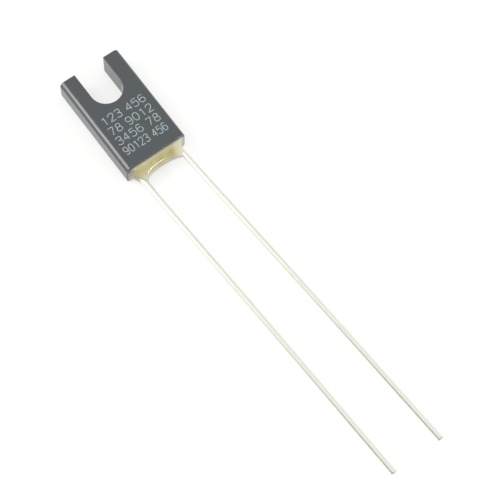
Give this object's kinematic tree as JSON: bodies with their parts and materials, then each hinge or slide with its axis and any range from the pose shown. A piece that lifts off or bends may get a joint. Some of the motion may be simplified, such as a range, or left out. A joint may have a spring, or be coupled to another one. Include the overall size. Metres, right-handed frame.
{
  "type": "thermal fuse",
  "caption": "Radial-lead thermal fuse: flat moulded case with a fork-shaped screw slot, resin-sealed mouth and long tinned leads.",
  "frame": {"origin": "middle of the flat back face between the screw slot and the mouth, on the plane that lies on the metal being watched", "axes": "+Z out of the printed face, away from the mounting plane; +Y towards the fork's tips; the leads run along -Y"},
  "size_m": [0.0097, 0.0543, 0.0031],
  "materials": {
    "case_plastic": "satin moulded, dark slate grey",
    "seal_resin": "glossy, translucent amber epoxy",
    "tinned_copper": "bright tin plating on copper wire",
    "fusible_alloy": "dull grey low-melting alloy",
    "rosin_flux": "glassy brown rosin"
  },
  "bodies": {
    "root": {"case": "case_plastic", "seal_resin": "seal_resin", "lead_left": "tinned_copper", "lead_right": "tinned_copper", "fusible_alloy": "fusible_alloy", "flux_coat": "rosin_flux"}
  },
  "joints": []
}
